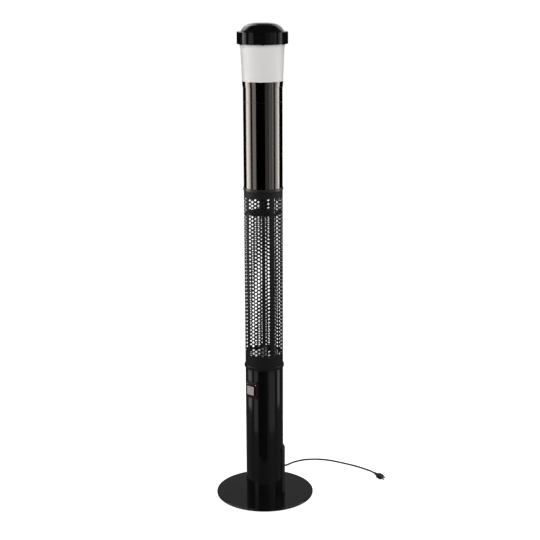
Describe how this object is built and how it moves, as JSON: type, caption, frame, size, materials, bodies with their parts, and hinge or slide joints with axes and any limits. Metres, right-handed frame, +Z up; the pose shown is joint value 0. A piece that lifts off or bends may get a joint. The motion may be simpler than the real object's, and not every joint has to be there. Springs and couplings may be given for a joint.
{
  "type": "infrared patio heater tower",
  "caption": "Free-standing round infrared heater tower with a perforated guard, a lamp head with a frosted lens, a rocker switch and a mains cord",
  "frame": {"origin": "centre of the round base on the floor, under the column's axis", "axes": "+Z up along the column, -Y towards the front, +X to the right seen from the front"},
  "size_m": [0.7865, 0.6018, 2.116],
  "materials": {
    "base_gloss": "gloss black powder coat",
    "column_gloss": "gloss black, warm",
    "guard_matte": "matte black powder coat",
    "cap_gloss": "gloss black",
    "lens": "frosted white, translucent",
    "black_plastic": "fine satin black",
    "bezel_plastic": "gloss, very dark maroon",
    "rocker_red": "gloss red",
    "clear_flap": "clear polycarbonate",
    "steel": "zinc plated",
    "dark_steel": "blackened steel",
    "bright_steel": "bright stainless",
    "ceramic": "unglazed ceramic",
    "quartz": "clear quartz with a faint ruby tint",
    "carbon": "carbon fibre strand",
    "brass": "plain",
    "aluminium": "extruded",
    "board": "white solder mask",
    "rubber": "matte black",
    "wire": "silicone sleeved"
  },
  "bodies": {
    "tower": {"base_pads": "rubber", "base_plate": "base_gloss", "cable_gland": "black_plastic", "cap_collar": "cap_gloss", "cap_dome": "cap_gloss", "cap_plate": "cap_gloss", "cap_screws": "dark_steel", "carbon_strand": "carbon", "chassis_plate": "steel", "chassis_screws": "steel", "column_foot": "steel", "cord_coil": "rubber", "cord_drop": "rubber", "cord_run": "rubber", "cover_screws": "dark_steel", "diffuser_lens": "lens", "element_holders": "ceramic", "foot_screws": "steel", "guard_bottom_ring": "guard_matte", "guard_sleeve": "guard_matte", "guard_top_ring": "guard_matte", "head_tube": "column_gloss", "heat_shields": "bright_steel", "heater_lead": "wire", "joint_screws": "dark_steel", "joint_sleeve": "steel", "lamp_core": "aluminium", "lamp_cup": "cap_gloss", "lamp_driver": "black_plastic", "lamp_lead": "wire", "lead_conduit": "steel", "lead_grommet": "rubber", "light_boards": "board", "lower_bulkhead": "steel", "lower_column": "column_gloss", "plug_body": "rubber", "plug_pins": "brass", "quartz_tube": "quartz", "rod_nuts": "steel", "strain_relief": "rubber", "supply_lead": "rubber", "switch_bezel": "bezel_plastic", "switch_blades": "brass", "switch_gasket": "rubber", "switch_housing": "black_plastic", "switch_lead": "wire", "switch_pins": "steel", "terminal_block": "black_plastic", "terminal_cover": "black_plastic", "tie_rods": "steel", "tip_pin": "steel", "tip_switch_box": "black_plastic", "tip_switch_plate": "black_plastic", "upper_bulkhead": "steel", "upper_column": "column_gloss", "vent_sleeve": "steel"},
    "rocker": {"switch_rocker": "rocker_red"},
    "flap": {"splash_flap": "clear_flap"},
    "pendulum": {"tip_pendulum": "steel"}
  },
  "joints": [
    {"name": "rocker_tilt", "type": "hinge", "parent": "tower", "child": "rocker", "pos_m": [-0.05046, -0.06013, 0.5185], "axis": [-0.766, 0.6428, 0], "range_deg": [0, 18]},
    {"name": "flap_hinge", "type": "hinge", "parent": "tower", "child": "flap", "pos_m": [-0.05753, -0.06856, 0.5455], "axis": [-0.766, 0.6428, 0], "range_deg": [0, 115]},
    {"name": "pendulum_swing", "type": "hinge", "parent": "tower", "child": "pendulum", "pos_m": [0, -0.0115, 0.192], "axis": [0, 1, 0], "range_deg": [-25, 25]}
  ]
}
